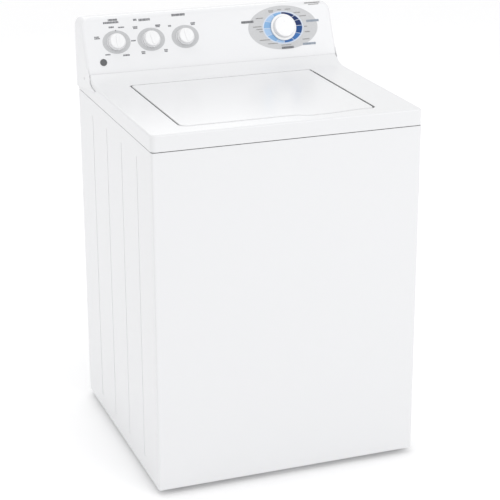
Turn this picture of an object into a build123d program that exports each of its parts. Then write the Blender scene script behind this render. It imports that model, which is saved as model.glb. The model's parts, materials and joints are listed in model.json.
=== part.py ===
from build123d import *
import os
from math import acos, atan2, cos, radians, sin, sqrt, tan

# A household top-loading washing machine, in millimetres. The origin is the
# centre of the footprint on the floor, +Z is up and the front faces -Y.

# Overall
WIDTH = 686.0
DEPTH = 648.0
DECK = 914.0
HEIGHT = 1067.0
FOOT_H = 15.0
SHEET = 1.5

# Cabinet and top cover
CAB_X = 339.0
FRONT = -DEPTH / 2
REAR = DEPTH / 2
APRON = 40.0
COVER_X = 339.8
SEAM_Z = DECK - APRON
PANEL_TOP = SEAM_Z - 2.0
OPEN_LEFT = -254.0
OPEN_RIGHT = 241.0
OPEN_REAR = 144.0
WELL = 21.0
RAMP_FOOT = 145.0
RAMP_R = 100.0
RAMP_SIN = 0.6
RAMP_COS = 0.8
PLATFORM = 930.0

# Console
LEAN = radians(25)
FACE_Y = 206.0
FACE_Z = 930.5
CAP_IN = 340.2
SEAM_S_Z = 934.0
APEX = HEIGHT + 1.6
CONTROL_S = 79.0
LOAD_X = -256.0
TEMP_X = -163.5
OPTION_X = -71.0
TIMER_X = 202.0
TIMER_S = 82.0

# Lid
LID_GAP = 5.0
LID_REAR = 141.0
LID_TOP = DECK + 0.6
LID_SKIRT = 15.0
HINGE_Y = 131.0
HINGE_Z = 908.0
PIN_R = 2.5
SWITCH_X = 230.5

# Wash system, all on one upright axis
TUB_Y = -14.0
TUB_R = 275.0
TUB_WALL = 3.5
TUB_Z = 330.0
TUB_TOP = 806.0
BASKET_R = 256.0
BASKET_Z = 352.0
BASKET_TOP = 790.0
SHAFT_R = 10.0
SPIN_R = 18.0
RUN = 0.05
MOTOR_X = -165.0
MOTOR_Y = TUB_Y + 70.0
BIG_PULLEY = 95.0
SMALL_PULLEY = 22.0
PULLEY_Z = 178.0
PULLEY_H = 20.0
PUMP_X = 165.0
PUMP_Y = TUB_Y - 70.0
ROD_X = 290.0
ROD_Y = 262.0
ARM_Z = 318.0


def block(x0, x1, y0, y1, z0, z1):
    """A box given by its limits."""
    body = Box(x1 - x0, y1 - y0, z1 - z0)
    return Pos((x0 + x1) / 2, (y0 + y1) / 2, (z0 + z1) / 2) * body


def disc(r, z0, z1, x=0.0, y=TUB_Y):
    """An upright cylinder."""
    return Pos(x, y, (z0 + z1) / 2) * Cylinder(r, z1 - z0)


def ring(r_out, r_in, z0, z1, x=0.0, y=TUB_Y):
    """An upright tube."""
    return disc(r_out, z0, z1, x, y) - disc(r_in, z0 - 1, z1 + 1, x, y)


def bar_x(r, x0, x1, y, z):
    """A cylinder along X."""
    return Pos((x0 + x1) / 2, y, z) * Rot(0, 90, 0) * Cylinder(r, x1 - x0)


def bar_y(r, y0, y1, x, z):
    """A cylinder along Y."""
    return Pos(x, (y0 + y1) / 2, z) * Rot(90, 0, 0) * Cylinder(r, y1 - y0)


def side_prism(points, x0, x1):
    """A (y, z) outline extruded from x0 to x1."""
    plane = Plane((x0, 0, 0), x_dir=(0, 1, 0), z_dir=(1, 0, 0))
    return extrude(plane * make_face(Polyline(points, close=True)), x1 - x0)


def turned(points, x=0.0, y=TUB_Y):
    """A (radius, z) outline turned about an upright axis."""
    outline = Plane.XZ * make_face(Polyline(points, close=True))
    return Pos(x, y, 0) * revolve(outline, Axis.Z)


def ramp_point(gap, share):
    """A point of the ramp's hollow curve, moved off it by gap."""
    angle = share * atan2(RAMP_SIN, RAMP_COS)
    r = RAMP_R - gap
    return (RAMP_FOOT + r * sin(angle), DECK + RAMP_R - r * cos(angle))


def face_plane(x, s, out=0.0):
    """A plane on the leaning console face, s up from its lower seam."""
    y0 = FACE_Y + (SEAM_S_Z - FACE_Z) * tan(LEAN)
    normal = (0, -cos(LEAN), sin(LEAN))
    y = y0 + s * sin(LEAN) + out * normal[1]
    z = SEAM_S_Z + s * cos(LEAN) + out * normal[2]
    return Plane((x, y, z), x_dir=(1, 0, 0), z_dir=normal)


def boss(x, s, r, out0, out1):
    """A cylinder square to the console face, from out0 to out1 in front."""
    return extrude(face_plane(x, s, out0) * Circle(r), out1 - out0)


# ---------------------------------------------------------------- cabinet

def side_panel(side):
    """One folded side sheet with flanges and four shallow upright beads."""
    z0 = FOOT_H
    x = CAB_X
    y0 = FRONT + 12.4
    y1 = REAR - 2.0
    sheet = block(x - SHEET, x, y0, y1, z0, PANEL_TOP)
    sheet += block(x - 22, x - SHEET, y0, y0 + SHEET, z0 + 40, PANEL_TOP - 2)
    sheet += block(x - 22, x - SHEET, y1 - 3, y1 - SHEET, z0 + 40, PANEL_TOP - 2)
    sheet += block(x - 16, x - SHEET, y0, y1 - 4, PANEL_TOP - SHEET, PANEL_TOP)
    for y in (-205.0, -75.0, 55.0, 185.0):
        bead = block(x - 0.6, x + 1, y - 6, y + 6, z0 + 40, PANEL_TOP - 40)
        back = block(x - SHEET - 0.6, x - SHEET, y - 7, y + 7, z0 + 39, PANEL_TOP - 39)
        sheet = sheet - bead + back
    for px, pz in screw_spots():
        if px > 0:
            sheet -= bar_y(2.2, REAR - 10, REAR + 5, px, pz)
    if side < 0:
        return mirror(sheet, about=Plane.YZ)
    return sheet


def front_panel():
    """The front sheet, wrapped round both front corners."""
    y0 = FRONT + 1.0
    outer = block(-CAB_X, CAB_X, y0, y0 + 11, FOOT_H, PANEL_TOP)
    outer = fillet(outer.edges().filter_by(Axis.Z).sort_by(Axis.Y)[:2], 5)
    inner = block(-CAB_X + SHEET, CAB_X - SHEET, y0 + SHEET, y0 + 12,
                  FOOT_H - 1, PANEL_TOP + 1)
    inner = fillet(inner.edges().filter_by(Axis.Z).sort_by(Axis.Y)[:2], 3.5)
    top = block(-CAB_X + 8, CAB_X - 8, y0 + SHEET, y0 + 11, PANEL_TOP - SHEET, PANEL_TOP)
    bottom = block(-CAB_X + 8, CAB_X - 8, y0 + SHEET, y0 + 10, FOOT_H, FOOT_H + SHEET)
    return outer - inner + top + bottom


def valve_pocket(grow):
    """The recess of the rear panel in which the water inlets stand."""
    return block(-262 - grow, -158 + grow, REAR - 34 - grow, REAR + 1,
                 796 - grow, 852 + grow)


def rear_panel():
    """The rear sheet with its inlet recess and the drain and cord holes."""
    y1 = REAR - 2.0
    x = CAB_X - SHEET
    sheet = block(-x, x, y1 - SHEET, y1, FOOT_H, PANEL_TOP)
    tray = valve_pocket(SHEET) & block(-400, 400, 0, y1, 0, 1000)
    sheet = sheet + tray - valve_pocket(0)
    for px in (-235.0, -185.0):
        sheet -= bar_y(13.6, REAR - 45, REAR, px, 824)
    sheet -= bar_y(11.0, REAR - 10, REAR + 5, 250, 800)
    sheet -= bar_y(16.0, REAR - 10, REAR + 5, 285, 700)
    for px, pz in screw_spots():
        sheet -= bar_y(2.2, REAR - 10, REAR + 5, px, pz)
    return sheet


def screw_spots():
    """Where the rear panel is screwed to the side flanges."""
    return [(sx * 327.0, pz) for sx in (-1, 1) for pz in (90.0, 330.0, 570.0, 810.0)]


def console_spots():
    """Where the console's back plate is screwed on."""
    return [(px, pz) for px in (-300.0, 0.0, 300.0) for pz in (945.0, 1035.0)]


def base_frame():
    """The bottom frame that ties the panels and carries the feet."""
    x = CAB_X - SHEET
    y0 = FRONT + 12.6
    y1 = REAR - 3.6
    y0 += SHEET
    tray = block(-x, x, y0, y1, FOOT_H, FOOT_H + 28)
    tray -= block(-x + 2, x - 2, y0 + 2, y1 - 2, FOOT_H + 2, FOOT_H + 40)
    tray -= block(-x + 75, x - 75, y0 + 75, y1 - 75, 0, FOOT_H + 40)
    for fx, fy in foot_spots():
        tray += disc(12, FOOT_H + 2, FOOT_H + 12, fx, fy)
        tray -= disc(5.05, 0, FOOT_H + 40, fx, fy)
    return tray


def foot_spots():
    """Where the four levelling feet stand."""
    return [(sx * 292.0, sy * 275.0) for sx in (-1, 1) for sy in (-1, 1)]


def foot(fx, fy):
    """A levelling foot: rubber-faced pad, hex and threaded stud."""
    pad = disc(19, 0, 8, fx, fy)
    pad = chamfer(pad.edges().sort_by(Axis.Z)[:1], 2)
    nut = extrude(Pos(fx, fy, 8) * RegularPolygon(9, 6), 5)
    stud = disc(5.0, 8, FOOT_H + 26, fx, fy)
    stud = stud - ring(6, 4.3, FOOT_H + 14, FOOT_H + 15, fx, fy)
    return pad + nut + stud


def corner_brackets():
    """Four corner gussets that hang the rods and carry the top cover."""
    group = []
    xi = CAB_X - SHEET
    for sx in (-1, 1):
        for sy in (-1, 1):
            yi = REAR - 5.0 if sy > 0 else -(FRONT + 12.6 + SHEET)
            corner = [(sx * xi, sy * yi), (sx * (xi - 70), sy * yi),
                      (sx * (xi - 70), sy * (yi - 75)), (sx * (xi - 30), sy * (yi - 105)),
                      (sx * xi, sy * (yi - 105))]
            plate = extrude(Pos(0, 0, 842) * make_face(Polyline(corner, close=True)), 3)
            x0, x1 = sorted((sx * (xi - 30), sx * (xi - 27)))
            y0, y1 = sorted((sy * (yi - 100), sy * (yi - 40)))
            post = block(x0, x1, y0, y1, 845, SEAM_Z)
            lip0, lip1 = sorted((sx * (xi - 30), sx * (xi - 18)))
            lip = block(lip0, lip1, y0, y1, SEAM_Z - 2, SEAM_Z)
            hole = disc(5.2, 800, 880, sx * ROD_X, sy * ROD_Y)
            group.append(plate + post + lip - hole)
    return Compound(children=group)


# -------------------------------------------------------------- top cover

def mouth_outline(gap, rear, corner):
    """Plan of the lid opening, or of the lid in it, with a bulge for fingers."""
    x0 = OPEN_LEFT + gap
    x1 = OPEN_RIGHT - gap
    pts = [(x0, -274 + gap), (34, -274 + gap), (64, -288 + gap), (118, -288 + gap),
           (190, -277 + gap), (x1, -277 + gap), (x1, rear), (x0, rear)]
    flat = make_face(Polyline(pts, close=True))
    flat = fillet(flat.vertices().filter_by(lambda v: 0 < v.X < 200), 40)
    flat = fillet(flat.vertices().filter_by(lambda v: v.Y > 100), corner)
    left = flat.vertices().filter_by(lambda v: v.X < x0 + 1 and v.Y < -200)
    flat = fillet(left, 24 - gap)
    right = flat.vertices().filter_by(lambda v: v.X > x1 - 1 and v.Y < -200)
    return fillet(right, 16 - gap)


def opening_outline(grow=0.0):
    """Plan of the lid opening in the top cover."""
    flat = mouth_outline(0.0, OPEN_REAR, 8)
    return offset(flat, grow) if grow else flat


def inner_outline(grow=0.0):
    """Plan of the loading hole inside the ledge."""
    return Pos(-6.5, -72.5) * RectangleRounded(459 + 2 * grow, 367 + 2 * grow, 30 + grow)


def cover_solid(drop):
    """The top cover's outside, or its inside when drop is the sheet."""
    x = COVER_X - drop
    foot = ramp_point(-drop, 0)
    crest = ramp_point(-drop, 1)
    front = Polyline([(FRONT + drop, SEAM_Z - 5), (FRONT + drop, DECK - drop), foot])
    ramp = ThreePointArc(foot, ramp_point(-drop, 0.5), crest)
    rear = Polyline([crest, (crest[0] + 0.9, PLATFORM - drop),
                     (REAR - 2 - drop, PLATFORM - drop), (REAR - 2 - drop, SEAM_Z - 5),
                     (FRONT + drop, SEAM_Z - 5)])
    side = Plane((-x, 0, 0), x_dir=(0, 1, 0), z_dir=(1, 0, 0))
    body = extrude(side * make_face([front, ramp, rear]), 2 * x)
    corners = body.edges().filter_by(Axis.Z).filter_by(lambda e: e.center().Y < 0)
    body = fillet(corners, 12 - drop)
    rim = body.edges().filter_by(
        lambda e: e.center().Z > DECK - drop - 0.01 and abs(e.length - 2 * x) > 1
        and e.center().Y < 200)
    body = fillet(rim, 5.5 - drop)
    return body & block(-400, 400, -400, 400, SEAM_Z, HEIGHT)


def top_cover():
    """The enamelled top: deck, apron, ramp and the stepped lid opening."""
    skin = cover_solid(0) - cover_solid(SHEET)
    skin -= extrude(Pos(0, 0, DECK - 40) * opening_outline(), 60)
    z0 = DECK - WELL - SHEET
    wall = extrude(Pos(0, 0, z0) * (opening_outline(SHEET) - opening_outline()), WELL)
    ledge = extrude(Pos(0, 0, z0) * (opening_outline() - inner_outline()), SHEET)
    neck = extrude(Pos(0, 0, z0 - 22) * (inner_outline(SHEET) - inner_outline()), 22)
    skin = skin + wall + ledge + neck
    rim = block(-COVER_X + 1, COVER_X - 1, FRONT + 1, REAR - 3, SEAM_Z, SEAM_Z + SHEET)
    rim &= cover_solid(SHEET / 2)
    rim -= block(-COVER_X + 36, COVER_X - 36, FRONT + 24, REAR - 24, 800, 900)
    skin += rim
    skin -= bar_x(4.2, OPEN_RIGHT - 5, OPEN_RIGHT + 12, HINGE_Y, HINGE_Z)
    skin -= bar_x(4.2, OPEN_LEFT - 12, OPEN_LEFT + 5, HINGE_Y, HINGE_Z)
    return skin - disc(3.5, z0 - 5, z0 + 5, SWITCH_X, 40)


def hinge_bushings():
    """Two plastic bushings in which the lid's pins turn."""
    group = []
    for edge in (OPEN_RIGHT, -OPEN_LEFT):
        body = bar_x(4.2, edge - 1, edge + 7, HINGE_Y, HINGE_Z)
        body += bar_x(4.4, edge - 2, edge, HINGE_Y, HINGE_Z)
        body += bar_x(4.4, edge + SHEET, edge + 3.5, HINGE_Y, HINGE_Z)
        body -= bar_x(PIN_R + RUN, edge - 4, edge + 8, HINGE_Y, HINGE_Z)
        group.append(body)
    return Compound(children=[group[0], mirror(group[1], about=Plane.YZ)])


def lid_pan(drop):
    """The lid's outside, or its hollow when drop is the sheet."""
    flat = mouth_outline(LID_GAP, LID_REAR, 6)
    if drop:
        flat = offset(flat, -drop)
    body = extrude(Pos(0, 0, LID_TOP - LID_SKIRT - 1) * flat, LID_SKIRT + 1 - drop)
    return fillet(body.edges().group_by(Axis.Z)[-1], 3.2 - drop)


def lid_panel():
    """The lid: a shallow pan that follows the opening's outline."""
    body = lid_pan(0) - lid_pan(SHEET)
    body -= block(-400, 400, -400, 400, 800, LID_TOP - LID_SKIRT)
    return body - bar_x(PIN_R, -260, 260, HINGE_Y, HINGE_Z)


def lid_pins():
    """Two headed hinge pins carried by the lid."""
    group = []
    for edge in (OPEN_RIGHT, -OPEN_LEFT):
        wall = edge - LID_GAP - SHEET
        pin = bar_x(PIN_R, wall, edge + 12, HINGE_Y, HINGE_Z)
        pin = fillet(pin.edges().sort_by(Axis.X)[-1:], 1.0)
        group.append(pin + bar_x(4.2, wall - 6, wall, HINGE_Y, HINGE_Z))
    return Compound(children=[group[0], mirror(group[1], about=Plane.YZ)])


def lid_bumpers():
    """Four rubber buffers on which the closed lid sits."""
    z0 = DECK - WELL + 0.3
    group = []
    for bx in (OPEN_LEFT + 13, OPEN_RIGHT - 13):
        for by in (-250.0, 84.0):
            plug = disc(4.0, z0, LID_TOP - SHEET, bx, by)
            group.append(fillet(plug.edges().sort_by(Axis.Z)[:1], 1.5))
    return Compound(children=group)


def lid_switch():
    """The switch box under the ledge at the right of the opening."""
    z1 = DECK - WELL - SHEET
    body = block(224.8, 240.5, 18, 62, z1 - 26, z1)
    return body - disc(3.0 + RUN, z1 - 18, z1 + 5, SWITCH_X, 40)


def lid_switch_plunger():
    """The switch plunger under the lid."""
    rod = disc(3.0, DECK - WELL - SHEET - 12, LID_TOP - SHEET - 0.7, SWITCH_X, 40)
    return fillet(rod.edges().sort_by(Axis.Z)[-1:], 1.5)


# ---------------------------------------------------------------- console

def console_profile(skin):
    """Side outline of the console, or of its hollow when skin is given."""
    y0 = FACE_Y + skin / cos(LEAN)
    top = APEX - skin
    z0 = FACE_Z if not skin else FACE_Z - 5
    y0 += (z0 - FACE_Z) * tan(LEAN)
    y_top = y0 + (top - z0) * tan(LEAN)
    back = REAR if not skin else REAR + 5
    return [(y0, z0), (y_top, top), (back, top - 6.5), (back, z0)]


def console_solid(skin):
    """The console's outer block with its softened upper edge and ends."""
    x = WIDTH / 2 - skin
    body = side_prism(console_profile(skin), -x, x)
    ridge = body.edges().filter_by(Axis.X).sort_by(Axis.Z)[-1]
    body = fillet([ridge], 16 - skin)
    tall = HEIGHT - 960 - skin
    ends = Plane.XZ * Pos(0, 960) * RectangleRounded(2 * x, 2 * tall, 28 - skin)
    return body & extrude(ends, 800, both=True)


def ear_solid():
    """The thin end plates of the console that lap down over the top cover."""
    nose = Spline((208.0, 936), (200.5, 926), (196.5, 916.5), (188, 910), (172, 906.3),
                  (153, 904.8))
    rest = Polyline([(153, 904.8), (153, 902.6), (230, 893), (REAR, 881), (REAR, 950),
                     (216, 950), (208.0, 936)])
    plane = Plane((CAP_IN, 0, 0), x_dir=(0, 1, 0), z_dir=(1, 0, 0))
    right = extrude(plane * make_face([nose, rest]), WIDTH / 2 - CAP_IN)
    right -= bar_x(3.2, WIDTH / 2 - 0.9, WIDTH / 2 + 1, 246, 917)
    return right + mirror(right, about=Plane.YZ)


def console_shell():
    """The hollow console moulding with its wrap-down ends."""
    body = soften(console_solid(0)) + ear_solid()
    hollow = console_solid(3.0) & block(-400, 400, 0, 400, FACE_Z - 5, HEIGHT)
    body = body - hollow
    for x in (LOAD_X, TEMP_X, OPTION_X):
        body -= boss(x, CONTROL_S, 4.5, -8, 5)
    body -= boss(TIMER_X, TIMER_S, 8.0, -8, 5)
    return body


def soften(body):
    """Round the long outer edges where the face meets the ends."""
    ends = body.edges().filter_by(
        lambda e: abs(e.center().X) > 300 and e.center().Y < 318
        and e.center().Z > 932 and e.length > 5)
    return fillet(ends, 7)


def console_back():
    """The sheet that closes the console from behind."""
    plate = block(-334, 334, REAR - 3, REAR - 1.5, PLATFORM + 1, HEIGHT - 18)
    for px, pz in console_spots():
        plate -= bar_y(2.2, REAR - 10, REAR + 5, px, pz)
    return plate


def screw(px, pz, y_seat, length):
    """A plain screw driven forward from the rear."""
    head = bar_y(4.5, y_seat, y_seat + 1.5, px, pz)
    shank = bar_y(2.2, y_seat - length, y_seat, px, pz)
    return head + shank


def cabinet_screws():
    """The hex-washer screws of the rear panel and the console's back."""
    group = [screw(px, pz, REAR - 2.0, 9) for px, pz in screw_spots()]
    group += [screw(px, pz, REAR - 1.5, 9) for px, pz in console_spots()]
    return Compound(children=group)


def badge_disc():
    """A plain round badge at the lower left of the console."""
    return boss(-297.6, 29, 9.0, 0.0, 1.0)


def rotary_switch(x, s, r, depth):
    """A round switch behind the console face, with its shaft bore."""
    body = boss(x, s, r, -3 - depth, -3)
    body += boss(x, s, r * 0.6, -3 - depth - 10, -3 - depth)
    return body - boss(x, s, 3.0 + RUN, -3 - depth + 4, 5)


def timer_body():
    """The motor-driven programme timer behind the face."""
    plane = face_plane(TIMER_X, TIMER_S, -45)
    body = extrude(plane * RectangleRounded(76, 76, 6), 42)
    body += extrude(face_plane(TIMER_X + 18, TIMER_S + 10, -62) * Circle(22), 17)
    return body - boss(TIMER_X, TIMER_S, 6.0 + RUN, -40, 5)


def knob(x, turn):
    """A control knob: round skirt, smooth drum, low pointer ridge and shaft."""
    low = face_plane(x, CONTROL_S, 0.8)
    out = Axis((0, 0, 0), low.z_dir)
    base = extrude(low * Circle(22.0), 5)
    base = fillet(base.edges().sort_by(out)[-1:], 1.2)
    drum = extrude(face_plane(x, CONTROL_S, 4) * Circle(20.5), 12, taper=5)
    drum = fillet(drum.edges().sort_by(out)[-1:], 2.5)
    ridge = extrude(face_plane(x, CONTROL_S, 10) * Rot(0, 0, turn) * SlotOverall(32, 8), 7.2)
    ridge = fillet(ridge.edges().sort_by(out)[-4:], 1.0)
    return base + drum + ridge + boss(x, CONTROL_S, 3.0, -14, 1)


def timer_dial():
    """The timer's round skirt, which turns with the programme."""
    low = face_plane(TIMER_X, TIMER_S, 1.0)
    skirt = extrude(low * Circle(35.5), 5)
    top = skirt.edges().sort_by(Axis((0, 0, 0), low.z_dir))[-1:]
    skirt = fillet(top, 1.5)
    skirt += boss(TIMER_X, TIMER_S, 6.0, -38, 1.5)
    flats = extrude(face_plane(TIMER_X, TIMER_S, -50) * Circle(3.3), 80)
    return skirt - flats


def timer_knob():
    """The push-pull timer knob on its inner shaft."""
    low = face_plane(TIMER_X, TIMER_S, 6.5)
    cap = extrude(low * Circle(28.5), 10, taper=5)
    top = cap.edges().sort_by(Axis((0, 0, 0), low.z_dir))[-1:]
    cap = fillet(top, 2.0)
    mark = extrude(face_plane(TIMER_X, TIMER_S + 16, 15) * Rectangle(2, 9), 1.9)
    return cap + mark + boss(TIMER_X, TIMER_S, 3.25, -34, 7)


# ------------------------------------------------------------ water inlet

def inlet_valve():
    """The double water valve with two 3/4 inch inlet spigots."""
    body = block(-256, -164, REAR - 62, REAR - 35.5, 808, 840)
    body = fillet(body.edges().filter_by(Axis.Z), 5)
    for px in (-235.0, -185.0):
        body += bar_y(12.6, REAR - 36, REAR - 33, px, 824)
        body += bar_y(13.3, REAR - 33.4, REAR - 12, px, 824)
        body -= bar_y(8.0, REAR - 30, REAR - 5, px, 824)
    body += disc(9, 838, 850, -210, REAR - 50)
    body -= disc(6, 830, 852, -210, REAR - 50)
    return body


def valve_coils():
    """The two solenoid coils of the water valve."""
    group = []
    for px in (-235.0, -185.0):
        coil = block(px - 14, px + 14, REAR - 92, REAR - 62, 812, 838)
        coil = fillet(coil.edges().filter_by(Axis.Y), 4)
        group.append(coil)
    return Compound(children=group)


def fill_hose():
    """The rubber hose from the valve to the fill nozzle."""
    path = FilletPolyline((-210, REAR - 50, 851), (-210, REAR - 50, 868),
                          (-60, 238, 868), (-60, 205, 868), radius=14)
    start = Plane((-210, REAR - 50, 851), z_dir=(0, 0, 1))
    tube = sweep(start * Circle(9), path=path)
    hole = sweep(start * Circle(6), path=path)
    return tube - hole


def fill_nozzle():
    """The nozzle that pours the water into the basket."""
    side = [(204.8, 858), (204.8, 878), (150, 872), (118, 852), (122, 846), (156, 860)]
    body = side_prism(side, -84, -36)
    body += block(-72, -48, 128, 133, 860, DECK - WELL - SHEET)
    body -= bar_y(6.0, 180, 210, -60, 868)
    return body


def cord_gland():
    """The bushing through which a mains cord would leave the cabinet."""
    y = REAR - 2.0
    body = bar_y(10.9, y - 8, y, 250, 800) + bar_y(14, y, y + 1.5, 250, 800)
    return body - bar_y(5.0, y - 20, y + 10, 250, 800)


def drain_elbow():
    """The rear outlet to which a drain hose is clamped."""
    y = REAR - 2.0
    body = bar_y(15.8, y - 14, y + 2.0, 285, 700)
    body += bar_y(20, y - 5, y - SHEET, 285, 700)
    body += bar_y(12, y - 34, y - 14, 285, 700)
    return body - bar_y(9.5, y - 40, y + 10, 285, 700)


# ------------------------------------------------------------- suspension

def rod_spots():
    """Where the four suspension rods hang."""
    return [(sx * ROD_X, sy * ROD_Y) for sx in (-1, 1) for sy in (-1, 1)]


def suspension_rods():
    """Four hanging rods with ball heads on the corner gussets."""
    group = []
    for rx, ry in rod_spots():
        rod = disc(4.0, 226, 846, rx, ry)
        head = disc(9.0, 845, 853, rx, ry)
        group.append(rod + fillet(head.edges().sort_by(Axis.Z)[-1:], 3))
    return Compound(children=group)


def rod_cups():
    """Four cups at the rod ends that carry the springs."""
    group = []
    for rx, ry in rod_spots():
        cup = ring(20, 4.0, 230, 234, rx, ry) + ring(20, 18, 234, 242, rx, ry)
        cup += ring(8, 4.0, 224, 230, rx, ry)
        group.append(cup)
    return Compound(children=group)


def suspension_springs():
    """Four coil springs between the cups and the tub arms."""
    path = Helix(13.4, ARM_Z - 1.9 - 235.9, 12.5)
    start = Plane(origin=path @ 0, z_dir=path % 0) * Circle(1.8)
    wire = sweep(start, path=path, is_frenet=True)
    group = [Pos(rx, ry, 235.9) * wire for rx, ry in rod_spots()]
    return Compound(children=group)


# -------------------------------------------------------------------- tub

def outer_tub():
    """The watertight outer tub."""
    r = TUB_R
    w = TUB_WALL
    pts = [(42, TUB_Z), (r + w - 18, TUB_Z), (r + w, TUB_Z + 18), (r + w, TUB_TOP - 8),
           (r + 11, TUB_TOP - 8), (r + 11, TUB_TOP), (r, TUB_TOP), (r, TUB_Z + 20),
           (r - 17, TUB_Z + 4), (42, TUB_Z + 4)]
    body = turned(pts)
    for z in (470.0, 600.0, 720.0):
        body += ring(r + w + 4, r + w - 0.5, z, z + 5)
    body -= disc(13, TUB_Z - 10, TUB_Z + 20, PUMP_X, TUB_Y + 60)
    return body


def tub_cover():
    """The ring that closes the outer tub above the basket."""
    r = TUB_R
    pts = [(r + 11, TUB_TOP), (r + 11, TUB_TOP + 6), (r - 6, TUB_TOP + 6),
           (212, TUB_TOP + 16), (212, TUB_TOP + 4), (215, TUB_TOP + 4),
           (216, TUB_TOP + 12), (r - 8, TUB_TOP + 3), (r - 8, TUB_TOP)]
    body = turned(pts)
    for i in range(10):
        clip = block(r + 8, r + 15, -9, 9, TUB_TOP + 1, TUB_TOP + 6)
        clip += block(r + 12, r + 15, -9, 9, TUB_TOP - 12, TUB_TOP + 6)
        body += Pos(0, TUB_Y, 0) * Rot(0, 0, 36 * i) * clip
    return body


def tub_bracket():
    """The steel cross under the tub with arms out to the four rods."""
    plate = disc(120, TUB_Z - 4, TUB_Z)
    for rx, ry in rod_spots():
        dx, dy = rx, ry - TUB_Y
        reach = sqrt(dx * dx + dy * dy)
        turn = atan2(dy, dx) * 57.29577951308232
        arm = block(60, reach + 22, -24, 24, TUB_Z - 4, TUB_Z)
        arm += block(60, reach + 22, -24, -21, ARM_Z, TUB_Z)
        arm += block(60, reach + 22, 21, 24, ARM_Z, TUB_Z)
        arm += Pos(reach, 0, (ARM_Z + TUB_Z) / 2 - 1) * Cylinder(18, TUB_Z - ARM_Z - 2)
        arm = Pos(0, TUB_Y, 0) * Rot(0, 0, turn) * arm
        plate += arm
    for rx, ry in rod_spots():
        plate -= disc(4.6, 300, 360, rx, ry)
    plate += block(MOTOR_X - 75, MOTOR_X + 75, MOTOR_Y - 75, MOTOR_Y + 75, TUB_Z - 4, TUB_Z)
    plate += block(PUMP_X - 50, PUMP_X + 50, PUMP_Y - 50, PUMP_Y + 50, TUB_Z - 4, TUB_Z)
    plate -= disc(42, 300, 360)
    plate -= disc(20, 300, 360, PUMP_X, TUB_Y + 60)
    return plate


def bearing_housing():
    """The cast housing that carries both bearings below the tub."""
    pts = [(41, 240), (41, 300), (56, 314), (56, 326), (41.8, 326),
           (41.8, 338), (34, 338), (34, 308), (25, 306), (25, 262), (34, 260), (34, 240)]
    return turned(pts)


def tub_bearings():
    """Two ball bearings that carry the spin tube."""
    upper = ring(34, SPIN_R + RUN, 308, 324)
    lower = ring(34, SPIN_R + RUN, 243, 259)
    return Compound(children=[upper, lower])


def tub_seal():
    """The lip seal above the upper bearing."""
    pts = [(34, 325), (34, 337), (26, 337), (SPIN_R + 0.4, 341), (SPIN_R + 0.4, 338),
           (24, 334), (24, 328), (SPIN_R + 0.4, 326), (SPIN_R + 0.4, 325)]
    return turned(pts)


def mode_shifter():
    """The clutch and brake that joins basket and drive for spinning."""
    body = ring(58, SPIN_R + 1.0, 212, 239.6)
    body += block(50, 82, TUB_Y - 16, TUB_Y + 16, 214, 238)
    return body - disc(SPIN_R + 1.0, 200, 250)


def motor_case():
    """The drive motor hung beside the housing."""
    case = disc(62, 214, TUB_Z - 14, MOTOR_X, MOTOR_Y)
    case = fillet(case.edges().sort_by(Axis.Z)[:1], 10)
    for mx, my in ((-45.0, -20.0), (20.0, -45.0)):
        case += disc(8, TUB_Z - 14.5, TUB_Z - 4, MOTOR_X + mx, MOTOR_Y + my)
    return case - disc(6.0 + RUN, 200, 290, MOTOR_X, MOTOR_Y)


def motor_pulley():
    """The motor's shaft and grooved pulley."""
    z0 = PULLEY_Z
    pts = [(0, z0), (SMALL_PULLEY + 4, z0), (SMALL_PULLEY + 4, z0 + 3), (SMALL_PULLEY, z0 + 5),
           (SMALL_PULLEY, z0 + 15), (SMALL_PULLEY + 4, z0 + 17), (SMALL_PULLEY + 4, z0 + 20),
           (6, z0 + 20), (6, 288), (0, 288)]
    return turned(pts, MOTOR_X, MOTOR_Y)


def driven_pulley():
    """The large pulley on the drive shaft."""
    z0 = PULLEY_Z
    r = BIG_PULLEY
    pts = [(SHAFT_R, z0), (22, z0), (22, z0 + 7), (r - 10, z0 + 7), (r - 10, z0), (r + 4, z0),
           (r + 4, z0 + 3), (r, z0 + 5), (r, z0 + 15), (r + 4, z0 + 17), (r + 4, z0 + 20),
           (r - 10, z0 + 20), (r - 10, z0 + 12), (22, z0 + 12), (22, z0 + 26),
           (SHAFT_R, z0 + 26)]
    body = turned(pts)
    for i in range(6):
        spot = Pos(0, TUB_Y, 0) * Rot(0, 0, 60 * i) * Pos(54, 0, z0 + 10)
        body -= spot * Cylinder(20, 20)
    return body


def belt_face(grow):
    """Plan of the belt loop, grown by a thickness."""
    ra = BIG_PULLEY + 0.4 + grow
    rb = SMALL_PULLEY + 0.4 + grow
    dx = MOTOR_X
    dy = MOTOR_Y - TUB_Y
    length = sqrt(dx * dx + dy * dy)
    along = atan2(dy, dx)
    swing = acos((ra - rb) / length)
    pts = []
    for sign in (1, -1):
        a = along + sign * swing
        near = (ra * cos(a), TUB_Y + ra * sin(a))
        far = (MOTOR_X + rb * cos(a), MOTOR_Y + rb * sin(a))
        pts += [near, far] if sign > 0 else [far, near]
    loop = make_face(Polyline(pts, close=True))
    loop += Pos(0, TUB_Y) * Circle(ra)
    loop += Pos(MOTOR_X, MOTOR_Y) * Circle(rb)
    return loop


def drive_belt():
    """The belt from the motor pulley to the driven pulley."""
    flat = belt_face(3.2) - belt_face(0)
    return extrude(Pos(0, 0, PULLEY_Z + 5.6) * flat, 8.8)


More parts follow.
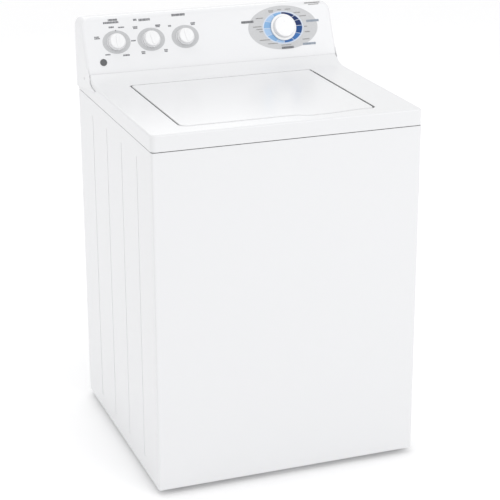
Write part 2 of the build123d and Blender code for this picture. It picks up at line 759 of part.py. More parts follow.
def pump_body():
    """The drain pump under the tub: volute, motor and two spigots."""
    case = disc(44, 276, TUB_Z - 14, PUMP_X, PUMP_Y)
    for mx, my in ((-30.0, 20.0), (20.0, 30.0)):
        case += disc(6, TUB_Z - 15, TUB_Z - 4, PUMP_X + mx, PUMP_Y + my)
    case += disc(30, 226, 277, PUMP_X, PUMP_Y)
    case += bar_y(13, PUMP_Y + 30, PUMP_Y + 62, PUMP_X, 300)
    case += bar_x(11, PUMP_X + 30, PUMP_X + 66, PUMP_Y, 300)
    case -= disc(32, 288, 312, PUMP_X, PUMP_Y)
    case -= bar_y(10, PUMP_Y + 20, PUMP_Y + 70, PUMP_X, 300)
    case -= bar_x(8, PUMP_X + 20, PUMP_X + 70, PUMP_Y, 300)
    return case - disc(3.0 + RUN, 240, 290, PUMP_X, PUMP_Y)


def pump_impeller():
    """The pump's bladed wheel and shaft."""
    wheel = disc(8, 292, 310, PUMP_X, PUMP_Y)
    wheel += disc(26, 292, 295, PUMP_X, PUMP_Y)
    for i in range(6):
        blade = Pos(PUMP_X, PUMP_Y, 0) * Rot(0, 0, 60 * i) * block(6, 27, -1.2, 1.2, 294, 309)
        wheel += blade
    return wheel + disc(3.0, 246, 293, PUMP_X, PUMP_Y)


def sump_hose():
    """The hose from the tub's sump to the pump."""
    y0 = TUB_Y + 60
    path = FilletPolyline((PUMP_X, y0, TUB_Z), (PUMP_X, y0, 300),
                          (PUMP_X, PUMP_Y + 62.0, 300), radius=18)
    start = Plane((PUMP_X, y0, TUB_Z), z_dir=(0, 0, -1))
    tube = sweep(start * Circle(16), path=path)
    hole = sweep(start * Circle(13), path=path)
    sleeve = bar_y(16, PUMP_Y + 44, PUMP_Y + 62.0, PUMP_X, 300)
    sleeve -= bar_y(13, PUMP_Y + 40, PUMP_Y + 70, PUMP_X, 300)
    return tube - hole + sleeve


# ----------------------------------------------------- basket and agitator

def basket():
    """The perforated wash basket."""
    r = BASKET_R
    z0 = BASKET_Z
    pts = [(34, z0), (r - 30, z0), (r + 2, z0 + 30), (r + 2, BASKET_TOP), (r, BASKET_TOP),
           (r, z0 + 31), (r - 31, z0 + 2), (34, z0 + 2)]
    body = turned(pts)
    holes = []
    for level in range(6):
        for i in range(24):
            turn = 15 * i + (7.5 if level % 2 else 0)
            spot = Pos(0, TUB_Y, 410 + 58 * level) * Rot(0, 0, turn) * Pos(r + 1, 0, 0)
            holes.append(spot * Rot(0, 90, 0) * Cylinder(3.0, 12))
    for i in range(12):
        spot = Pos(0, TUB_Y, z0 + 1) * Rot(0, 0, 30 * i) * Pos(190, 0, 0)
        holes.append(spot * Cylinder(3.0, 12))
    return body - holes


def balance_ring():
    """The liquid-filled balance ring in the basket's mouth."""
    r = BASKET_R
    z1 = BASKET_TOP + 6
    pts = [(r, 758), (r, BASKET_TOP), (r + 2, BASKET_TOP), (r + 2, z1 - 4), (r - 4, z1),
           (230, z1), (222, z1 - 8), (222, 766), (230, 758)]
    return turned(pts)


def basket_hub():
    """The hub that joins the basket floor to the spin tube."""
    pts = [(SPIN_R, 343), (60, 346), (60, 352), (33.5, 352), (33.5, 356), (26, 360),
           (26, 398), (SPIN_R, 398)]
    return turned(pts)


def hub_nut():
    """The nut that clamps the hub on the spin tube."""
    body = extrude(Pos(0, TUB_Y, 398) * RegularPolygon(26, 6), 12)
    return body - disc(SPIN_R, 390, 420)


def spin_tube():
    """The hollow shaft that spins the basket."""
    return ring(SPIN_R, SHAFT_R + RUN, 208, 412)


def drive_shaft():
    """The inner shaft that drives the agitator."""
    body = disc(SHAFT_R, PULLEY_Z - 6, 446)
    return chamfer(body.edges().sort_by(Axis.Z)[-1:], 2)


def agitator():
    """The agitator: skirt, column and four tall vanes."""
    body = turned([(152, 359), (152, 364), (110, 376), (74, 396), (54, 430), (46, 500),
                   (38, 690), (38, 704), (33, 704), (33, 690), (42, 500), (49, 430),
                   (68, 394), (106, 371), (146, 362), (146, 359)])
    body += ring(16, SHAFT_R, 414, 460)
    body += ring(50, 15, 440, 446)
    fin = Plane.XZ * make_face(Polyline(
        [(50, 374), (140, 366), (132, 392), (96, 430), (72, 500), (60, 640), (40, 660),
         (42, 500)], close=True))
    blade = extrude(fin, 2.5, both=True) - hollow_core()
    for i in range(4):
        body += Pos(0, TUB_Y, 0) * Rot(0, 0, 45 + 90 * i) * blade
    return body


def hollow_core():
    """The space inside the agitator, kept clear of the vanes."""
    pts = [(0, 300), (147, 300), (147, 362.5), (107, 372), (69, 395), (50, 430.5),
           (43, 500), (34, 690), (34, 720), (0, 720)]
    return revolve(Plane.XZ * make_face(Polyline(pts, close=True)), Axis.Z)


def softener_cup():
    """The lift-off dispenser cup on top of the agitator."""
    pts = [(0, 700), (32.6, 700), (32.6, 704.3), (46, 704.3), (50, 712), (52, 780), (54, 788),
           (49, 788), (48, 778), (46, 716), (30, 708), (0, 708)]
    return turned(pts)


def rear_feet():
    """The two levelling feet at the rear."""
    return Compound(children=[foot(fx, fy) for fx, fy in foot_spots() if fy > 0])


def build():
    """Every piece, by its node name."""
    left = [(fx, fy) for fx, fy in foot_spots() if fy < 0 and fx < 0][0]
    right = [(fx, fy) for fx, fy in foot_spots() if fy < 0 and fx > 0][0]
    return {
        "side_panel_left": side_panel(-1),
        "side_panel_right": side_panel(1),
        "front_panel": front_panel(),
        "rear_panel": rear_panel(),
        "base_frame": base_frame(),
        "corner_brackets": corner_brackets(),
        "rear_feet": rear_feet(),
        "front_foot_left": foot(*left),
        "front_foot_right": foot(*right),
        "top_cover": top_cover(),
        "hinge_bushings": hinge_bushings(),
        "lid_panel": lid_panel(),
        "lid_pins": lid_pins(),
        "lid_bumpers": lid_bumpers(),
        "lid_switch": lid_switch(),
        "lid_switch_plunger": lid_switch_plunger(),
        "console_shell": console_shell(),
        "console_back": console_back(),
        "cabinet_screws": cabinet_screws(),
        "badge_disc": badge_disc(),
        "load_switch": rotary_switch(LOAD_X, CONTROL_S, 26, 26),
        "temperature_switch": rotary_switch(TEMP_X, CONTROL_S, 19, 18),
        "options_switch": rotary_switch(OPTION_X, CONTROL_S, 19, 18),
        "timer_body": timer_body(),
        "load_knob": knob(LOAD_X, 90),
        "temperature_knob": knob(TEMP_X, 100),
        "options_knob": knob(OPTION_X, 100),
        "timer_dial": timer_dial(),
        "timer_knob": timer_knob(),
        "inlet_valve": inlet_valve(),
        "valve_coils": valve_coils(),
        "fill_hose": fill_hose(),
        "fill_nozzle": fill_nozzle(),
        "cord_gland": cord_gland(),
        "drain_elbow": drain_elbow(),
        "suspension_rods": suspension_rods(),
        "rod_cups": rod_cups(),
        "suspension_springs": suspension_springs(),
        "outer_tub": outer_tub(),
        "tub_cover": tub_cover(),
        "tub_bracket": tub_bracket(),
        "bearing_housing": bearing_housing(),
        "tub_bearings": tub_bearings(),
        "tub_seal": tub_seal(),
        "mode_shifter": mode_shifter(),
        "motor_case": motor_case(),
        "motor_pulley": motor_pulley(),
        "driven_pulley": driven_pulley(),
        "drive_belt": drive_belt(),
        "pump_body": pump_body(),
        "pump_impeller": pump_impeller(),
        "sump_hose": sump_hose(),
        "basket": basket(),
        "balance_ring": balance_ring(),
        "basket_hub": basket_hub(),
        "hub_nut": hub_nut(),
        "spin_tube": spin_tube(),
        "drive_shaft": drive_shaft(),
        "agitator": agitator(),
        "softener_cup": softener_cup(),
    }


os.makedirs("parts", exist_ok=True)
for name, piece in build().items():
    export_step(piece, "parts/" + name + ".step")
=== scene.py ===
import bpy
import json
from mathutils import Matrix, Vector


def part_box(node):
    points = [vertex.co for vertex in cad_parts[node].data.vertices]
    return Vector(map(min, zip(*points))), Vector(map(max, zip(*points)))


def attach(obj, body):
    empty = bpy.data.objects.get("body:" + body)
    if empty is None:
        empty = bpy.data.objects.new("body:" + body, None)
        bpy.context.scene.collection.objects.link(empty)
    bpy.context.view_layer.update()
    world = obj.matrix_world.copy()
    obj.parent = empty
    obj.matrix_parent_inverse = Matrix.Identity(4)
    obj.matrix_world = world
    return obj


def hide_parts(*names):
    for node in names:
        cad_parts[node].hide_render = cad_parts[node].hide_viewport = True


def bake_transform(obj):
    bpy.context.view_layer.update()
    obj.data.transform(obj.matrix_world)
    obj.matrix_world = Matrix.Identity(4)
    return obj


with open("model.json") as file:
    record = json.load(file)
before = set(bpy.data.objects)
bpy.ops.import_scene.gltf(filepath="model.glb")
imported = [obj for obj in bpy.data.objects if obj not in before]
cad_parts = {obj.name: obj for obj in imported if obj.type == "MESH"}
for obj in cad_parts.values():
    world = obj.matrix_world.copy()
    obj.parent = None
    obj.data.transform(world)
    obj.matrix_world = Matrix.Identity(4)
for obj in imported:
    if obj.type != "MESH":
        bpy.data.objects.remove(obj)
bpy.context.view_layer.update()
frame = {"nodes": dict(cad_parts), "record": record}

import bpy
import bmesh
import json
import math
import random
from mathutils import Matrix, Vector

NODES = frame["nodes"]
JOINTS = {j["name"]: j for j in frame["record"]["behaviour"]["joints"]}
MM = 0.001


# ---------------------------------------------------------------- materials

class Paint:
    """A small builder for one procedural material."""

    def __init__(self, name):
        self.mat = bpy.data.materials.new(name)
        self.mat.use_nodes = True
        self.tree = self.mat.node_tree
        self.shader = self.tree.nodes["Principled BSDF"]
        self.coord = self.tree.nodes.new("ShaderNodeTexCoord").outputs["Object"]

    def node(self, kind, **values):
        made = self.tree.nodes.new(kind)
        for key, value in values.items():
            setattr(made, key, value)
        return made

    def link(self, a, b):
        self.tree.links.new(a, b)

    def socket(self, name, value):
        self.shader.inputs[name].default_value = value

    def stretched(self, scale):
        made = self.node("ShaderNodeMapping")
        made.inputs["Scale"].default_value = scale
        self.link(self.coord, made.inputs["Vector"])
        return made.outputs["Vector"]

    def noise(self, scale, detail=2.0, rough=0.5, vector=None):
        made = self.node("ShaderNodeTexNoise")
        made.inputs["Scale"].default_value = scale
        made.inputs["Detail"].default_value = detail
        made.inputs["Roughness"].default_value = rough
        self.link(vector or self.coord, made.inputs["Vector"])
        return made.outputs["Fac"]

    def cells(self, scale, output="Distance"):
        made = self.node("ShaderNodeTexVoronoi", feature="F1")
        made.inputs["Scale"].default_value = scale
        self.link(self.coord, made.inputs["Vector"])
        return made.outputs[output]

    def ramp(self, fac, stops):
        made = self.node("ShaderNodeValToRGB")
        elements = made.color_ramp.elements
        while len(elements) < len(stops):
            elements.new(0.5)
        for element, (place, color) in zip(elements, stops):
            element.position = place
            element.color = (*color, 1)
        self.link(fac, made.inputs["Fac"])
        return made.outputs["Color"]

    def spread(self, fac, low, high, lo_in=0.0, hi_in=1.0):
        """Maps lo_in..hi_in of a value to low..high."""
        made = self.node("ShaderNodeMapRange")
        made.inputs["From Min"].default_value = lo_in
        made.inputs["From Max"].default_value = hi_in
        made.inputs["To Min"].default_value = low
        made.inputs["To Max"].default_value = high
        self.link(fac, made.inputs["Value"])
        return made.outputs["Result"]

    def mix(self, fac, a, b):
        """Mixes two colours; each may be a tuple or another node's output."""
        made = self.node("ShaderNodeMix", data_type="RGBA")
        factor, first, second = made.inputs[0], made.inputs[6], made.inputs[7]
        self.link(fac, factor)
        for place, value in ((first, a), (second, b)):
            if isinstance(value, tuple):
                place.default_value = (*value, 1)
            else:
                self.link(value, place)
        return made.outputs[2]

    def math(self, what, a, b):
        made = self.node("ShaderNodeMath", operation=what)
        for place, value in zip(made.inputs, (a, b)):
            if isinstance(value, float):
                place.default_value = value
            else:
                self.link(value, place)
        return made.outputs[0]

    def bump(self, height, strength, distance):
        made = self.node("ShaderNodeBump")
        made.inputs["Strength"].default_value = strength
        made.inputs["Distance"].default_value = distance
        self.link(height, made.inputs["Height"])
        self.link(made.outputs["Normal"], self.shader.inputs["Normal"])

    def occlusion(self, reach):
        made = self.node("ShaderNodeAmbientOcclusion", samples=4)
        made.inputs["Distance"].default_value = reach
        return made.outputs["AO"]

    def color(self, out):
        self.link(out, self.shader.inputs["Base Color"])

    def rough(self, out):
        self.link(out, self.shader.inputs["Roughness"])


def times(color, factor):
    return tuple(c * factor for c in color)


def enamel(name, color, warm, shade=0.16, peel=0.06, rough=0.28):
    """Gloss enamel on sheet steel: faint orange peel, handling haze, and shade deep in the gaps."""
    p = Paint(name)
    haze = p.noise(2.2, 3, 0.5)
    tint = p.mix(haze, color, warm)
    # Painted shade: the colour darkens towards the shade colour where ambient occlusion finds deep gaps, and
    # fine noise makes that painted shade patchy.
    deep = p.spread(p.occlusion(0.030), 1.0, 0.0, 0.12, 0.50)
    gap_shade_breakup = p.spread(p.noise(60, 4), 0.75, 1.0, 0.3, 0.7)
    p.color(p.mix(p.math("MULTIPLY", deep, gap_shade_breakup), tint, times(color, shade)))
    smear = p.noise(7, 2, 0.4)
    p.rough(p.spread(smear, rough - 0.01, rough + 0.02))
    p.bump(p.noise(900, 2), peel, 0.0001)
    p.socket("Coat Weight", 0.2)
    p.socket("Coat Roughness", 0.16)
    return p.mat


def moulded(name, color, rough=0.35, grain=1400.0, depth=0.00006, specular=0.5, coat=0.0):
    """Injection-moulded plastic: fine sparked grain, slight flow marks and painted shade in the corners."""
    p = Paint(name)
    flow = p.noise(5, 2, 0.45, p.stretched((1, 1, 0.4)))
    base = p.mix(flow, color, times(color, 0.975))
    # Painted shade: the colour darkens in corners that ambient occlusion finds.
    painted_corner_shade = p.spread(p.occlusion(0.008), 0.8, 0.0, 0.2, 0.65)
    p.color(p.mix(painted_corner_shade, base, times(color, 0.55)))
    p.rough(p.spread(p.noise(40, 3, 0.5), rough - 0.05, rough + 0.06))
    p.bump(p.noise(grain, 3, 0.6), 0.22, depth)
    p.socket("Specular IOR Level", specular)
    if coat:
        p.socket("Coat Weight", coat)
        p.socket("Coat Roughness", 0.1)
    return p.mat


def galvanised(name):
    """Zinc-coated sheet with its spangle, rolling lines and dull patches."""
    p = Paint(name)
    grey = p.node("ShaderNodeRGBToBW")
    p.link(p.cells(75, "Color"), grey.inputs[0])
    flake = grey.outputs[0]
    cloud = p.noise(14, 5, 0.6)
    tone = p.math("ADD", p.math("MULTIPLY", flake, 0.55), p.math("MULTIPLY", cloud, 0.45))
    p.color(p.ramp(tone, [(0.2, (0.40, 0.41, 0.42)), (0.5, (0.52, 0.53, 0.54)),
                          (0.8, (0.66, 0.67, 0.68))]))
    p.rough(p.spread(flake, 0.32, 0.52))
    lines = p.noise(420, 2, 0.5, p.stretched((1, 1, 0.03)))
    p.bump(lines, 0.10, 0.0001)
    p.socket("Metallic", 0.85)
    return p.mat


def metal(name, color, rough=0.3, scratch=600.0, along=(1, 1, 0.05), strength=0.12):
    """Worked steel: turning or drawing lines, tarnish and oily patches."""
    p = Paint(name)
    cloud = p.noise(25, 5, 0.65)
    p.color(p.mix(p.spread(cloud, 0, 1, 0.35, 0.7), color, times(color, 0.72)))
    lines = p.noise(scratch, 3, 0.6, p.stretched(along))
    p.rough(p.spread(lines, rough - 0.08, rough + 0.14, 0.3, 0.7))
    p.bump(lines, strength, 0.00015)
    p.socket("Metallic", 1.0)
    return p.mat


def cast(name, color):
    """Cast metal: pitted skin, darker in cloudy patches."""
    p = Paint(name)
    pits = p.noise(260, 6, 0.7)
    cloud = p.noise(20, 4, 0.6)
    p.color(p.mix(p.spread(cloud, 0, 1, 0.3, 0.7), color, times(color, 0.6)))
    p.rough(p.spread(pits, 0.45, 0.7, 0.3, 0.7))
    p.bump(pits, 0.5, 0.0004)
    p.socket("Metallic", 0.9)
    return p.mat


def rubber(name, color):
    """Moulded black rubber with bloom and a fine matte skin."""
    p = Paint(name)
    bloom = p.noise(34, 6, 0.72)
    pale = tuple(min(1, c * 2.6 + 0.01) for c in color)
    p.color(p.mix(p.spread(bloom, 0, 0.8, 0.45, 0.8), color, pale))
    p.rough(p.spread(bloom, 0.55, 0.85, 0.3, 0.7))
    p.bump(p.noise(1200, 3), 0.35, 0.0001)
    p.socket("Specular IOR Level", 0.35)
    return p.mat


def speckled(name):
    """Porcelain enamel of the basket: pale ground with fine dark specks."""
    p = Paint(name)
    some = p.spread(p.noise(260, 2), 0, 1, 0.46, 0.52)
    dots = p.math("MULTIPLY", p.spread(p.cells(700), 1, 0, 0.12, 0.2), some)
    ground = p.mix(p.noise(9, 4), (0.70, 0.72, 0.75), (0.78, 0.79, 0.80))
    p.color(p.mix(dots, ground, (0.12, 0.14, 0.18)))
    p.rough(p.spread(p.noise(45, 4), 0.14, 0.3, 0.3, 0.7))
    p.bump(p.noise(160, 3), 0.12, 0.0003)
    p.socket("Coat Weight", 0.5)
    p.socket("Coat Roughness", 0.08)
    return p.mat


def ink(name, color, rough=0.4):
    """Screen-printed ink: a slightly uneven film."""
    p = Paint(name)
    film_tone = p.noise(520, 4, 0.7)
    pale = tuple(min(1, c * 1.16 + 0.012) for c in color)
    p.color(p.mix(p.spread(film_tone, 0, 1, 0.4, 0.75), color, pale))
    p.rough(p.spread(film_tone, rough - 0.05, rough + 0.1))
    p.bump(film_tone, 0.12, 0.00003)
    p.socket("Specular IOR Level", 0.25)
    return p.mat


WHITE = (0.790, 0.794, 0.806)
WARM = (0.781, 0.785, 0.795)
M = {
    # The front and side panels wear copies of the enamel whose painted shade in the gaps is weaker; on the
    # sides it is weakest.
    "enamel": enamel("washer_enamel", WHITE, WARM),
    "front": enamel("front_enamel", WHITE, WARM, 0.32),
    "side": enamel("side_enamel", WHITE, WARM, 0.74),
    "console": moulded("console_plastic", (0.815, 0.819, 0.832), 0.30, 1500, 0.00004, 0.5, 0.25),
    "knob": moulded("knob_plastic", (0.86, 0.862, 0.87), 0.22, 900, 0.00002, 0.5, 0.4),
    "galv": galvanised("zinc_sheet"),
    "zinc": metal("zinc_steel", (0.60, 0.60, 0.59), 0.34),
    "bright": metal("ground_steel", (0.72, 0.72, 0.73), 0.16, 900, (1, 1, 0.5), 0.06),
    "spring": metal("spring_steel", (0.30, 0.30, 0.31), 0.38, 700, (1, 1, 1), 0.1),
    "cast": cast("cast_alloy", (0.42, 0.42, 0.43)),
    "rubber": rubber("black_rubber", (0.016, 0.016, 0.017)),
    "black": moulded("black_plastic", (0.022, 0.023, 0.025), 0.42, 700, 0.0001, 0.4),
    "tub": moulded("tub_plastic", (0.68, 0.69, 0.69), 0.4, 500, 0.00014, 0.45),
    "agit": moulded("agitator_plastic", (0.62, 0.66, 0.70), 0.3, 800, 0.00006, 0.5, 0.2),
    "basket": speckled("basket_porcelain"),
    "badge": moulded("badge_plastic", (0.055, 0.058, 0.064), 0.3, 900, 0.00003, 0.5, 0.5),
    "grey_ink": ink("grey_ink", (0.520, 0.525, 0.535)),
    "pale_ink": ink("pale_grey_ink", (0.560, 0.565, 0.575)),
    "dark_ink": ink("dark_ink", (0.130, 0.133, 0.145)),
    "navy_ink": ink("navy_ink", (0.007, 0.026, 0.118)),
    "blue_ink": ink("mid_blue_ink", (0.045, 0.160, 0.430)),
    "royal_ink": ink("royal_blue_ink", (0.009, 0.066, 0.235)),
    "sky_ink": ink("light_blue_ink", (0.230, 0.420, 0.680)),
    "mist_ink": ink("misty_blue_ink", (0.360, 0.530, 0.760)),
    "halo_ink": ink("pale_blue_ink", (0.600, 0.660, 0.760)),
    "mid_ink": ink("mid_grey_ink", (0.240, 0.235, 0.235)),
    "slate_ink": ink("slate_ink", (0.260, 0.310, 0.380)),
}

# Which CAD nodes wear which material.
USES = {
    "enamel": "top_cover lid_panel",
    "front": "front_panel",
    "side": "side_panel_left side_panel_right",
    "console": "console_shell",
    "knob": "load_knob temperature_knob options_knob timer_dial timer_knob",
    "galv": "rear_panel base_frame corner_brackets tub_bracket console_back",
    "zinc": "cabinet_screws rod_cups motor_case hub_nut",
    "bright": "suspension_rods spin_tube drive_shaft lid_pins tub_bearings",
    "spring": "suspension_springs",
    "badge": "badge_disc",
    "black": "load_switch temperature_switch options_switch lid_switch lid_switch_plunger timer_body"
             " cord_gland drain_elbow pump_body pump_impeller valve_coils",
    "tub": "outer_tub tub_cover fill_nozzle inlet_valve hinge_bushings",
    "agit": "agitator softener_cup balance_ring",
    "basket": "basket",
    "cast": "bearing_housing basket_hub mode_shifter driven_pulley motor_pulley",
    "rubber": "fill_hose sump_hose drive_belt tub_seal lid_bumpers rear_feet front_foot_left"
              " front_foot_right",
}


def wear(obj, key):
    obj.data.materials.clear()
    obj.data.materials.append(M[key])


for key, names in USES.items():
    for name in names.split():
        wear(NODES[name], key)


# ------------------------------------------------------------ mesh helpers

def mesh_object(name, verts, faces):
    data = bpy.data.meshes.new(name)
    data.from_pydata([tuple(v) for v in verts], [], faces)
    data.update()
    obj = bpy.data.objects.new(name, data)
    bpy.context.scene.collection.objects.link(obj)
    return obj


def face_outwards(obj):
    """Turns every face of a closed mesh outwards."""
    data = bmesh.new()
    data.from_mesh(obj.data)
    bmesh.ops.recalc_face_normals(data, faces=data.faces)
    data.to_mesh(obj.data)
    data.free()


# ------------------------------------------------------------ console print

# The console face has its own axes, from the knob joints: u to the right, v up, both in millimetres.
NORMAL = Vector(JOINTS["load_turn"]["axis"]).normalized()
RIGHT = Vector((1, 0, 0))
UP = NORMAL.cross(RIGHT)
LOAD = Vector(JOINTS["load_turn"]["pos_m"])
TEMPERATURE = Vector(JOINTS["temperature_turn"]["pos_m"])
OPTIONS = Vector(JOINTS["options_turn"]["pos_m"])
TIMER = Vector(JOINTS["timer_turn"]["pos_m"])

FILM_THICK = 0.12


def on_face(centre, u, v, out=0.0):
    """A point u right and v up of a centre on the console face, and out in front of it."""
    return centre + (RIGHT * u + UP * v + NORMAL * out) * MM


def printed(name, verts, faces, key):
    """A film fixed to the cabinet."""
    obj = mesh_object(name, verts, faces)
    face_outwards(obj)
    wear(obj, key)
    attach(obj, "cabinet")


def film(name, centre, loops, out, key):
    """Printed patches: each loop is a list of (u, v) corners, drawn as one thin closed slab."""
    verts, faces = [], []
    for loop in loops:
        n = len(loop)
        first = len(verts)
        verts += [on_face(centre, u, v, out) for u, v in loop]
        verts += [on_face(centre, u, v, out - FILM_THICK) for u, v in loop]
        faces.append([first + i for i in range(n)])
        faces.append([first + n + i for i in reversed(range(n))])
        for i in range(n):
            j = (i + 1) % n
            faces.append([first + i, first + n + i, first + n + j, first + j])
    printed(name, verts, faces, key)


def arc(a, b, start, end, steps):
    """Points of an ellipse from clock angle start to end, in degrees from 12 o'clock."""
    made = []
    for i in range(steps + 1):
        t = math.radians(start + (end - start) * i / steps)
        made.append((a * math.sin(t), b * math.cos(t)))
    return made


def ring_film(name, centre, outside, inside, out, key, start=0, end=360, steps=48):
    """An elliptical ring or part of one, between two (half width, half height) ellipses."""
    verts, faces = [], []
    full = end - start == 360
    n = steps if full else steps + 1
    outer = arc(*outside, start, end, steps)[:n]
    inner = arc(*inside, start, end, steps)[:n]
    for level in (out, out - FILM_THICK):
        verts += [on_face(centre, u, v, level) for u, v in outer]
        verts += [on_face(centre, u, v, level) for u, v in inner]
    for i in range(steps):
        j = (i + 1) % n
        faces.append([i, j, n + j, n + i])
        faces.append([2 * n + i, 3 * n + i, 3 * n + j, 2 * n + j])
        faces.append([i, 2 * n + i, 2 * n + j, j])
        faces.append([n + i, n + j, 3 * n + j, 3 * n + i])
    if not full:
        last = n - 1
        faces.append([0, n, 3 * n, 2 * n])
        faces.append([last, 2 * n + last, 3 * n + last, n + last])
    printed(name, verts, faces, key)


def bar(u, v, w, h):
    """A short printed bar centred at (u, v)."""
    return [(u - w / 2, v - h / 2), (u + w / 2, v - h / 2), (u + w / 2, v + h / 2), (u - w / 2, v + h / 2)]


def words(u, v, width, height, seed):
    """A row of small bars that stands for a printed label."""
    draw = random.Random(seed)
    loops = []
    x = u - width / 2
    while x < u + width / 2 - 1.0:
        w = min(draw.uniform(1.6, 3.2), u + width / 2 - x)
        loops.append(bar(x + w / 2, v, w, height))
        x += w + draw.uniform(0.5, 0.9)
    return loops


def labels(rows):
    """Every row is (u, v, width, height, seed)."""
    return [loop for row in rows for loop in words(*row)]


# How far the films stand out of the face; what is printed later lies on top.
BASE, OVER, MIDDLE, HIGH, TOP = 0.16, 0.26, 0.34, 0.40, 0.50

KNOB_RING = ((37.0, 30.5), (25.2, 22.8))
for label, centre in (("load", LOAD), ("temperature", TEMPERATURE), ("options", OPTIONS)):
    ring_film(label + "_ring_print", centre, *KNOB_RING, 0.20, "grey_ink")

film("load_labels", LOAD, labels((
    (-2, 58, 25, 5.2, 1), (-7.6, 51.5, 41, 5.2, 2), (-8, 39.3, 14, 4.4, 3), (17.6, 37.3, 16, 3.2, 4),
    (-49.5, 16.5, 14, 3.2, 5), (-49.5, 12.5, 14, 3.2, 6), (-27.5, -31, 13, 3.2, 7),
    (21, -36, 17, 4.4, 8))), BASE, "dark_ink")
film("temperature_labels", TEMPERATURE, labels((
    (-36, 54, 9, 5.2, 11), (-11, 52.5, 30, 6.2, 12), (-38, 35.5, 12.6, 3.2, 13),
    (-38, 31.8, 11, 3.2, 14), (23, 35.5, 14, 3.2, 15), (23, 31.8, 12, 3.2, 16),
    (-47.5, 0, 12.6, 3.2, 17), (-25.6, -31, 10, 3.2, 18), (-25.6, -35, 9, 3.2, 19),
    (35.7, -30.6, 10, 3.2, 20), (35.7, -34.6, 9, 3.2, 21))), BASE, "dark_ink")
film("options_labels", OPTIONS, labels((
    (-10.6, 58.5, 36.7, 6.2, 31), (-38, 31, 8, 4.4, 32), (25.6, 34.2, 12.5, 3.2, 33),
    (25.6, 30.4, 11, 3.2, 34))), BASE, "dark_ink")
film("load_pointer_tick", LOAD, [bar(1.6, 30.0, 1.8, 3.0)], 0.30, "dark_ink")

# Timer: a grey oval, a pale halo, and a blue ring in sectors round the skirt.
TIMER_HOLE = (30.0, 30.0)
ring_film("timer_oval_print", TIMER, (98.0, 59.0), TIMER_HOLE, BASE, "pale_ink", steps=96)
ring_film("timer_halo", TIMER, (57.5, 44.5), TIMER_HOLE, OVER, "halo_ink", steps=96)
for name, start, end, key in (
        ("navy_a", 1, 42, "navy_ink"), ("navy_b", 44, 62, "navy_ink"), ("navy_c", 64, 86, "navy_ink"),
        ("navy_d", 88, 118, "royal_ink"), ("blue_a", 120, 150, "blue_ink"), ("blue_b", 152, 182, "blue_ink"),
        ("blue_c", 184, 206, "mist_ink"), ("sky_a", 208, 240, "sky_ink"), ("sky_b", 242, 270, "mist_ink"),
        ("sky_c", 272, 298, "sky_ink"), ("sky_d", 300, 330, "mist_ink"), ("blue_d", 332, 359, "sky_ink")):
    ring_film("timer_" + name, TIMER, (54.0, 41.0), TIMER_HOLE, HIGH, key, start, end, 20)

TIMER_MARKS = (
    (-72, 6.6, 23, 2.4), (-67, -0.5, 17, 2.4), (-63, -7, 10, 2.4), (-62, 29, 21, 2.4),
    (-28, 47, 14, 2.4), (-28, 43.6, 12, 2.4), (-3.7, 48, 10, 2.4), (21, 48, 17, 2.4),
    (45, 37, 18, 2.2), (60, 27, 18, 2.4), (64, -2, 8, 2.4), (67, -16.6, 15, 3.2),
    (60, -36, 20, 2.4), (-56, -30, 29, 2.2), (-35, -41, 27, 2.2), (2, -47.5, 28, 1.8))
FIRST_MARK_SEED = 60
film("timer_marks", TIMER, labels((*mark, FIRST_MARK_SEED + k) for k, mark in enumerate(TIMER_MARKS)),
     MIDDLE, "mid_ink")
film("timer_titles", TIMER, labels(((-97, 21.5, 35, 6.2, 81), (5.4, -54.7, 35, 6.0, 84))),
     TOP, "dark_ink")
film("timer_blue_titles", TIMER, labels(((86, 12, 36, 6.0, 82), (67, -49, 36, 6.0, 83))),
     TOP, "slate_ink")
film("corner_marks", TIMER, labels(((92, 61, 44, 2.6, 91), (96, 56, 30, 2.2, 92))), BASE, "mid_ink")


# ---------------------------------------------------------- lid's rear edge

def lid_rear_edge():
    """The rolled rear edge of the lid, which narrows the gap to the ramp."""
    left, right = -0.243, 0.230
    rolled = [(0.1402, 0.9065), (0.1424, 0.9070), (0.1427, 0.9105), (0.1424, 0.9122), (0.1402, 0.9128)]
    n = len(rolled)
    verts = [(x, y, z) for x in (left, right) for y, z in rolled]
    ends = [list(reversed(range(n))), list(range(n, 2 * n))]
    sides = [[i, (i + 1) % n, n + (i + 1) % n, n + i] for i in range(n)]
    obj = mesh_object("lid_rear_edge", verts, ends + sides)
    wear(obj, "enamel")
    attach(obj, "lid")


lid_rear_edge()


# ------------------------------------------------------------------ springs

COIL_R = 0.0125
WIRE_R = 0.0018
OPEN_PITCH = 0.0134
CLOSED_PITCH = 2 * WIRE_R * 1.02
STEPS = 28
SIDES = 12


def coil_line(x, y, low, high):
    """The centre line of one spring: open turns between a closed turn at each end."""
    span = high - low - 2 * WIRE_R
    turns = 2 + (span - 2 * CLOSED_PITCH) / OPEN_PITCH
    count = int(turns * STEPS)
    pitches = []
    for i in range(count):
        turn = (i + 0.5) / STEPS
        ease = min(1.0, max(0.0, (min(turn, turns - turn) - 0.8) / 0.4))
        pitches.append(CLOSED_PITCH + (OPEN_PITCH - CLOSED_PITCH) * ease)
    scale = span / (sum(pitches) / STEPS)
    line, z = [], low + WIRE_R
    for i, pitch in enumerate(pitches + [0.0]):
        angle = 2 * math.pi * i / STEPS
        line.append(Vector((x + COIL_R * math.cos(angle), y + COIL_R * math.sin(angle), z)))
        z += pitch * scale / STEPS
    return line


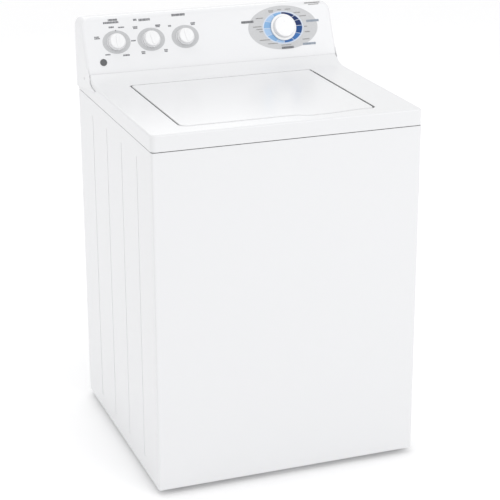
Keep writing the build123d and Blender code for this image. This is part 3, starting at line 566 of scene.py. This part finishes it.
def coil_spring(x, y, low, high, verts, faces):
    """Adds one wound wire to verts and faces, with a ring of points at each step of its line."""
    line = coil_line(x, y, low, high)
    count = len(line) - 1
    base = len(verts)
    for i, point in enumerate(line):
        along = (line[min(i + 1, count)] - line[max(i - 1, 0)]).normalized()
        outward = Vector((point.x - x, point.y - y, 0)).normalized()
        across = along.cross(outward).normalized()
        outward = across.cross(along)
        for k in range(SIDES):
            a = 2 * math.pi * k / SIDES
            verts.append(point + (outward * math.cos(a) + across * math.sin(a)) * WIRE_R)
    for i in range(count):
        here = base + i * SIDES
        there = here + SIDES
        for k in range(SIDES):
            m = (k + 1) % SIDES
            faces.append([here + k, here + m, there + m, there + k])
    faces.append([base + k for k in reversed(range(SIDES))])
    faces.append([base + count * SIDES + k for k in range(SIDES)])


def wound_springs():
    """Four springs held by the cups below and the tub's arms above."""
    low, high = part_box("suspension_springs")
    reach = COIL_R + WIRE_R
    verts, faces = [], []
    for sx in (-1, 1):
        for sy in (-1, 1):
            coil_spring(sx * (high.x - reach), sy * (high.y - reach), low.z, high.z, verts, faces)
    obj = mesh_object("wound_springs", verts, faces)
    for face in obj.data.polygons:
        face.use_smooth = True
    face_outwards(obj)
    wear(obj, "spring")
    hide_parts("suspension_springs")
    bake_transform(obj)


wound_springs()

# ------------------------------------------------------------ floor and light

FLOOR = 20
floor = mesh_object("floor", [(-FLOOR, -FLOOR, 0), (FLOOR, -FLOOR, 0), (FLOOR, FLOOR, 0), (-FLOOR, FLOOR, 0)],
                    [[0, 1, 2, 3]])
ground = Paint("pale_floor")
ground.color(ground.mix(ground.noise(1.5, 4), (0.93, 0.93, 0.935), (0.945, 0.945, 0.95)))
ground.socket("Emission Color", (1.0, 1.0, 1.0, 1))
ground.socket("Emission Strength", 0.13)
ground.rough(ground.spread(ground.noise(9, 3), 0.75, 0.9))
floor.data.materials.append(ground.mat)

scene = bpy.context.scene
scene.view_settings.view_transform = "Standard"
scene.view_settings.look = "None"
world = bpy.data.worlds.new("studio")
scene.world = world
world.use_nodes = True
sky = world.node_tree.nodes["Background"]
sky.inputs["Color"].default_value = (1.0, 1.0, 1.0, 1)
sky.inputs["Strength"].default_value = 0.90


def softbox(name, place, aim, size, power):
    """A rectangular lamp at place that points at aim."""
    lamp = bpy.data.lights.new(name, "AREA")
    lamp.shape = "RECTANGLE"
    lamp.size, lamp.size_y = size
    lamp.energy = power
    obj = bpy.data.objects.new(name, lamp)
    scene.collection.objects.link(obj)
    obj.location = place
    obj.rotation_euler = (Vector(aim) - Vector(place)).to_track_quat("-Z", "Y").to_euler()


softbox("key_box", (1.9, -3.8, 3.0), (0, 0, 0.6), (2.6, 2.0), 34)
softbox("top_box", (-0.5, 0.3, 3.6), (0, 0, 0.9), (2.6, 2.6), 13)
softbox("back_box", (0.5, 3.6, 2.6), (0, 0, 0.7), (2.4, 1.8), 10)

# ------------------------------------------------------------------- camera

CAMERA_PLACE = (-1.3697, -3.7646, 1.9301)
YAW = math.radians(20.227)
PITCH = math.radians(-19.79)
ROLL = math.radians(-0.172)

lens = bpy.data.cameras.new("camera")
lens.sensor_width = 36.0
lens.lens = 118.52
lens.clip_start, lens.clip_end = 0.05, 100
camera = bpy.data.objects.new("camera", lens)
scene.collection.objects.link(camera)
ahead = Vector((math.sin(YAW) * math.cos(PITCH), math.cos(YAW) * math.cos(PITCH), math.sin(PITCH)))
level = Vector((math.cos(YAW), -math.sin(YAW), 0))
above = level.cross(ahead)
right = level * math.cos(ROLL) + above * math.sin(ROLL)
top = above * math.cos(ROLL) - level * math.sin(ROLL)
turned = Matrix((right, top, -ahead)).transposed().to_4x4()
camera.matrix_world = Matrix.Translation(CAMERA_PLACE) @ turned
scene.camera = camera
